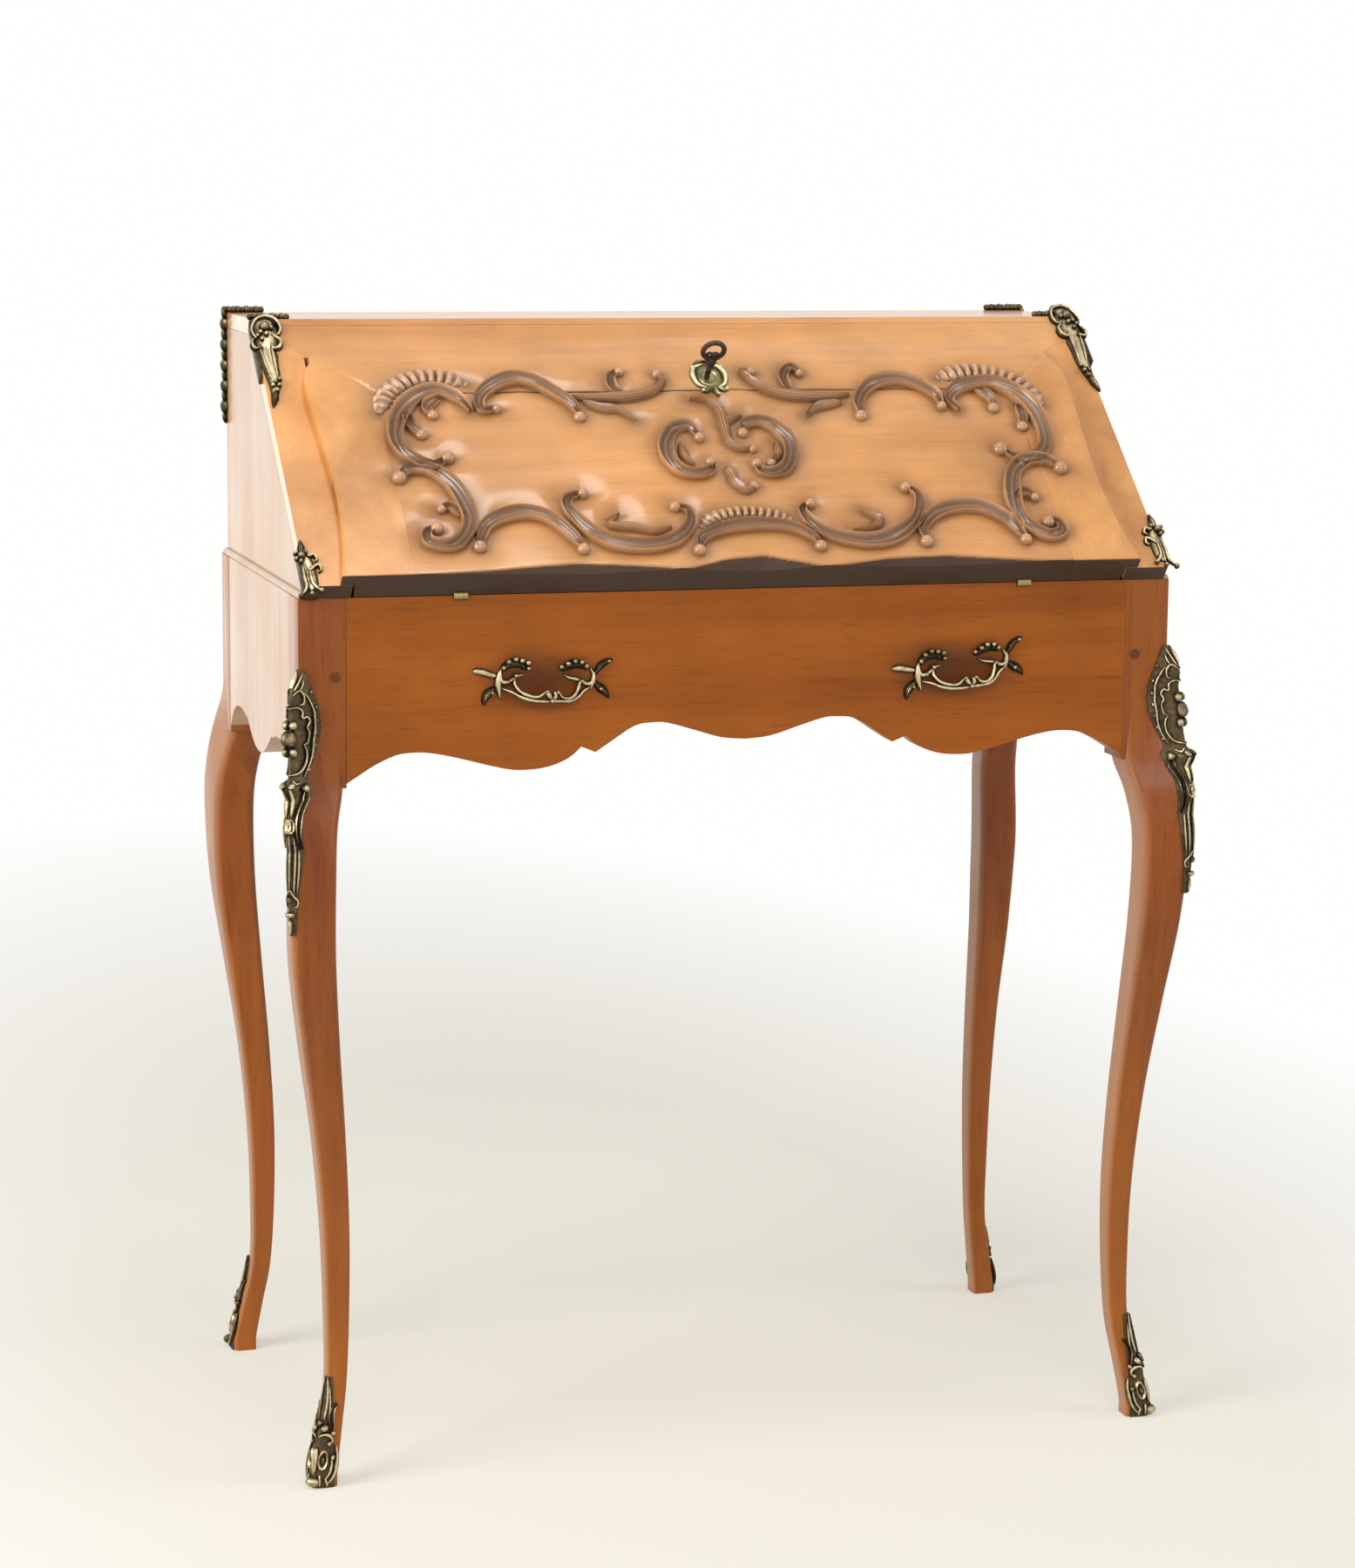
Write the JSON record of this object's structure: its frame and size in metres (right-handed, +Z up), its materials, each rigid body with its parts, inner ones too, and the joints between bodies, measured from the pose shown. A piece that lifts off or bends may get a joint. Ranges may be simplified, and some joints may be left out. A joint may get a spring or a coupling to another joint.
{
  "type": "slant-front desk",
  "caption": "Slant-front desk on cabriole legs, with a carved lid that folds down to write on, bronze mounts, pigeonholes and small drawers inside.",
  "frame": {"origin": "on the floor, under the middle of the desk's overall box", "axes": "+Z up, +Y from the front to the back, +X to the right as seen from the front"},
  "size_m": [0.814, 0.4428, 0.9854],
  "materials": {
    "leg_wood": "waxed fruitwood, warm brown, straight grain",
    "apron_wood": "waxed veneer, orange brown",
    "case_wood": "polished fruitwood",
    "lid_wood": "french polished, glossy, honey brown",
    "inner_wood": "thin wax over plain secondary wood",
    "bronze": "cast bronze, old gilding worn to brown",
    "brass": "brushed brass, a little dull",
    "iron": "dark forged iron",
    "leather": "green writing leather"
  },
  "bodies": {
    "case": {"front_left_leg": "leg_wood", "front_right_leg": "leg_wood", "back_left_leg": "leg_wood", "back_right_leg": "leg_wood", "front_apron": "apron_wood", "left_side_panel": "apron_wood", "right_side_panel": "apron_wood", "back_board": "apron_wood", "case_bottom": "inner_wood", "writing_boards": "inner_wood", "writing_rail": "inner_wood", "well_walls": "inner_wood", "left_case_side": "case_wood", "right_case_side": "case_wood", "back_panel": "case_wood", "top_board": "case_wood", "left_slant_stile": "lid_wood", "right_slant_stile": "lid_wood", "slant_rail": "lid_wood", "side_mouldings": "case_wood", "draw_pegs": "leg_wood", "case_hinges": "brass", "stay_posts": "brass", "strike_plate": "brass", "gallery_floor": "inner_wood", "gallery_cheeks": "inner_wood", "gallery_shelves": "inner_wood", "drawer_dividers": "inner_wood", "pigeonhole_dividers": "inner_wood", "left_pull": "bronze", "right_pull": "bronze", "top_corner_mounts": "bronze", "slant_corner_mounts": "bronze", "knee_mounts": "bronze", "sabots": "bronze"},
    "lid": {"lid_panel": "lid_wood", "lid_left_stile": "lid_wood", "lid_right_stile": "lid_wood", "lid_rail": "lid_wood", "lid_carving": "lid_wood", "writing_leather": "leather", "escutcheon": "brass", "lock_case": "brass", "lid_hinges": "brass", "stay_brackets": "brass"},
    "lock_bolt": {"lock_bolt": "brass"},
    "key": {"key": "iron"},
    "well_cover": {"well_cover": "inner_wood"},
    "drawer_1": {"drawer_1": "inner_wood", "knob_1": "brass"},
    "drawer_2": {"drawer_2": "inner_wood", "knob_2": "brass"},
    "drawer_3": {"drawer_3": "inner_wood", "knob_3": "brass"},
    "drawer_4": {"drawer_4": "inner_wood", "knob_4": "brass"},
    "left_stay_arm": {"left_stay_arm": "brass"},
    "right_stay_arm": {"right_stay_arm": "brass"},
    "left_stay_link": {"left_stay_link": "brass"},
    "right_stay_link": {"right_stay_link": "brass"}
  },
  "joints": [
    {"name": "lid_hinge", "type": "hinge", "parent": "case", "child": "lid", "pos_m": [0, -0.1853, 0.761], "axis": [1, 0, 0], "range_deg": [0, 140.1]},
    {"name": "key_turn", "type": "hinge", "parent": "lid", "child": "key", "pos_m": [0.009, -0.02476, 0.92912], "axis": [0, -0.6414, 0.7672], "range_deg": [0, 90]},
    {"name": "bolt_throw", "type": "slide", "parent": "lid", "child": "lock_bolt", "axis": [0, 0.7672, 0.6414], "range_m": [0, 0.009]},
    {"name": "well_cover_slide", "type": "slide", "parent": "case", "child": "well_cover", "axis": [0, 1, 0], "range_m": [0, 0.13]},
    {"name": "drawer_1_slide", "type": "slide", "parent": "case", "child": "drawer_1", "axis": [0, -1, 0], "range_m": [0, 0.12]},
    {"name": "drawer_2_slide", "type": "slide", "parent": "case", "child": "drawer_2", "axis": [0, -1, 0], "range_m": [0, 0.12]},
    {"name": "drawer_3_slide", "type": "slide", "parent": "case", "child": "drawer_3", "axis": [0, -1, 0], "range_m": [0, 0.12]},
    {"name": "drawer_4_slide", "type": "slide", "parent": "case", "child": "drawer_4", "axis": [0, -1, 0], "range_m": [0, 0.12]},
    {"name": "left_stay_arm_hinge", "type": "hinge", "parent": "case", "child": "left_stay_arm", "pos_m": [-0.3385, -0.12588, 0.76935], "axis": [1, 0, 0], "range_deg": [0, 140.1]},
    {"name": "left_stay_link_hinge", "type": "hinge", "parent": "left_stay_arm", "child": "left_stay_link", "pos_m": [-0.3345, -0.02716, 0.83756], "axis": [1, 0, 0], "range_deg": [-140.1, 0]},
    {"name": "right_stay_arm_hinge", "type": "hinge", "parent": "case", "child": "right_stay_arm", "pos_m": [0.3385, -0.12588, 0.76935], "axis": [1, 0, 0], "range_deg": [0, 140.1]},
    {"name": "right_stay_link_hinge", "type": "hinge", "parent": "right_stay_arm", "child": "right_stay_link", "pos_m": [0.3345, -0.02716, 0.83756], "axis": [1, 0, 0], "range_deg": [-140.1, 0]}
  ],
  "couplings": [
    {"joint": "bolt_throw", "follows": "key_turn", "m_per_rad": 0.0057296},
    {"joint": "left_stay_arm_hinge", "follows": "lid_hinge", "ratio": 1},
    {"joint": "left_stay_link_hinge", "follows": "lid_hinge", "ratio": -1},
    {"joint": "right_stay_arm_hinge", "follows": "lid_hinge", "ratio": 1},
    {"joint": "right_stay_link_hinge", "follows": "lid_hinge", "ratio": -1}
  ]
}
